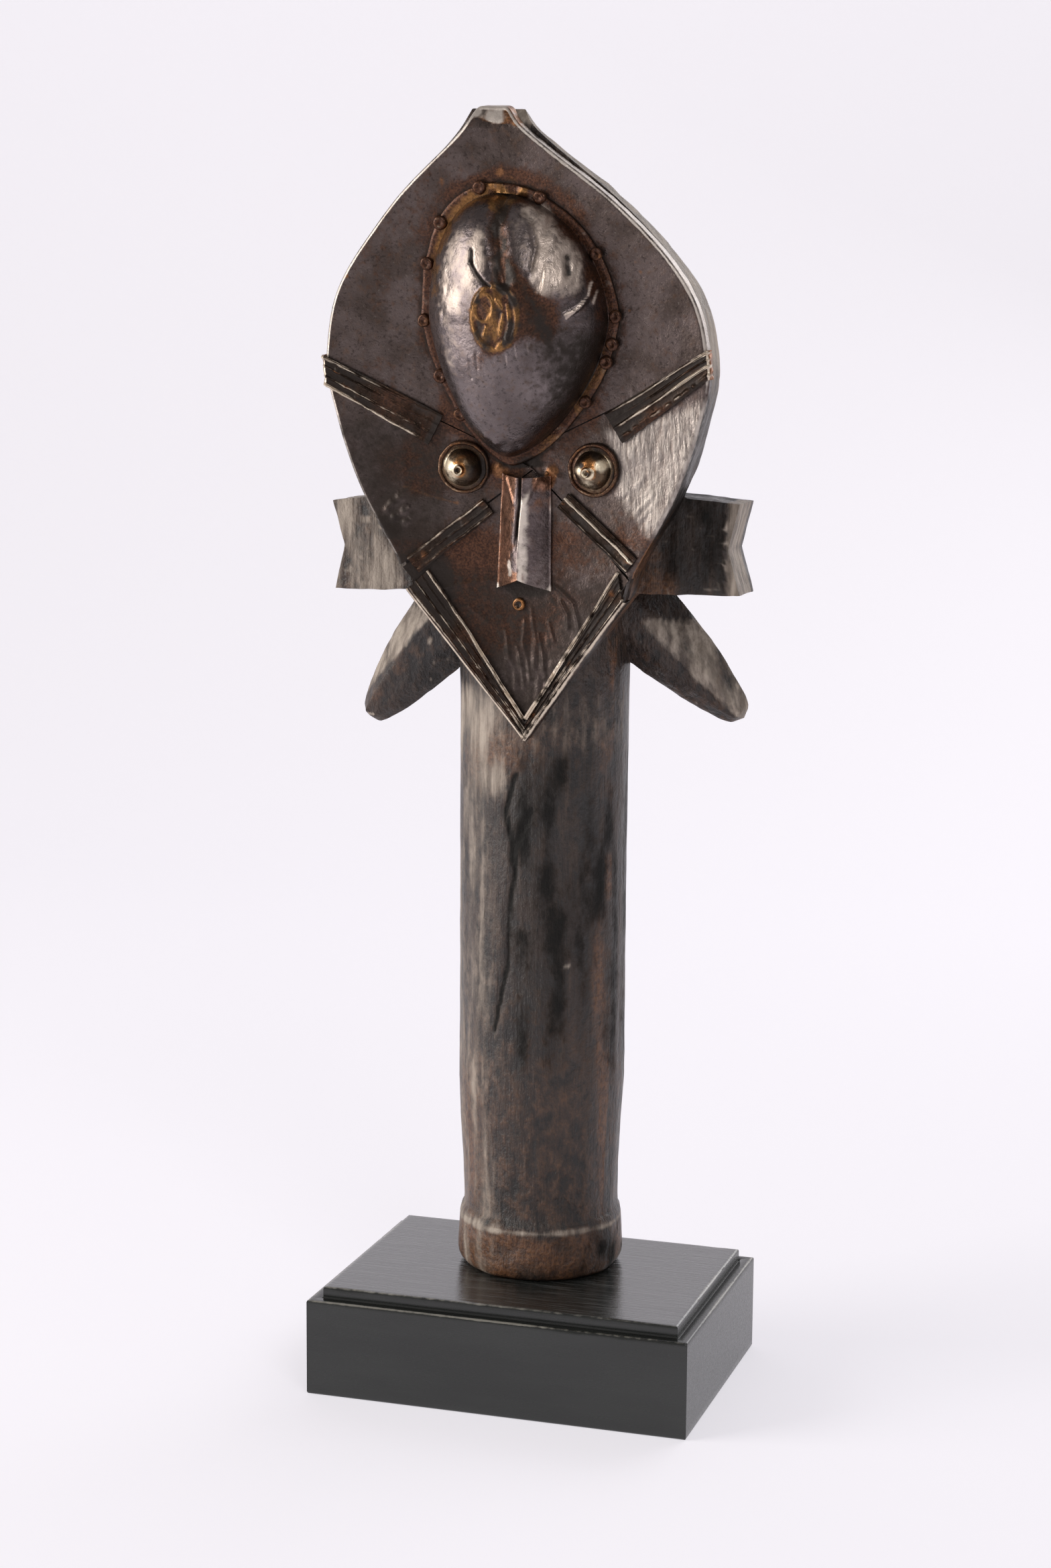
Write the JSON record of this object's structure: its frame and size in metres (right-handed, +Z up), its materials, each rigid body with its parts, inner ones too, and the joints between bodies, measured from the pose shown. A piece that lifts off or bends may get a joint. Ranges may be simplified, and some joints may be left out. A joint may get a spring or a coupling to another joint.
{
  "type": "kota reliquary figure",
  "caption": "Carved wooden reliquary figure with a leaf-shaped face clad in sheet metal, a domed forehead and a thick round neck, standing on a stepped block base.",
  "frame": {"origin": "centre of the display base's underside", "axes": "+Z up, the face looks along -Y, +X to the right as seen from the front"},
  "size_m": [0.1436, 0.1063, 0.4347],
  "materials": {
    "base_wood": "matte black stain",
    "figure_wood": "dark worn patina",
    "plate_sheet": "dark tarnish",
    "cap_sheet": "tarnished, rubbed bright",
    "strip_sheet": "tarnished, bright on its ribs",
    "nose_sheet": "rubbed bright on its ridge",
    "nails": "worn"
  },
  "bodies": {
    "root": {"display_base": "base_wood", "carved_figure": "figure_wood", "crown_plate": "plate_sheet", "cheek_plate_left": "plate_sheet", "cheek_plate_right": "plate_sheet", "chin_plate": "plate_sheet", "forehead_cap": "cap_sheet", "brow_strip_left": "strip_sheet", "brow_strip_right": "strip_sheet", "cheek_strip_left": "strip_sheet", "cheek_strip_right": "strip_sheet", "chin_strip_left": "strip_sheet", "chin_strip_right": "strip_sheet", "nose_strip": "nose_sheet", "eye_left": "nails", "eye_right": "nails", "mouth_tack": "nails", "cap_tack_1": "nails", "cap_tack_2": "nails", "cap_tack_3": "nails", "cap_tack_4": "nails", "cap_tack_5": "nails", "cap_tack_6": "nails", "cap_tack_7": "nails", "cap_tack_8": "nails", "cap_tack_9": "nails", "cap_tack_10": "nails", "cap_tack_11": "nails", "cap_tack_12": "nails"}
  },
  "joints": []
}
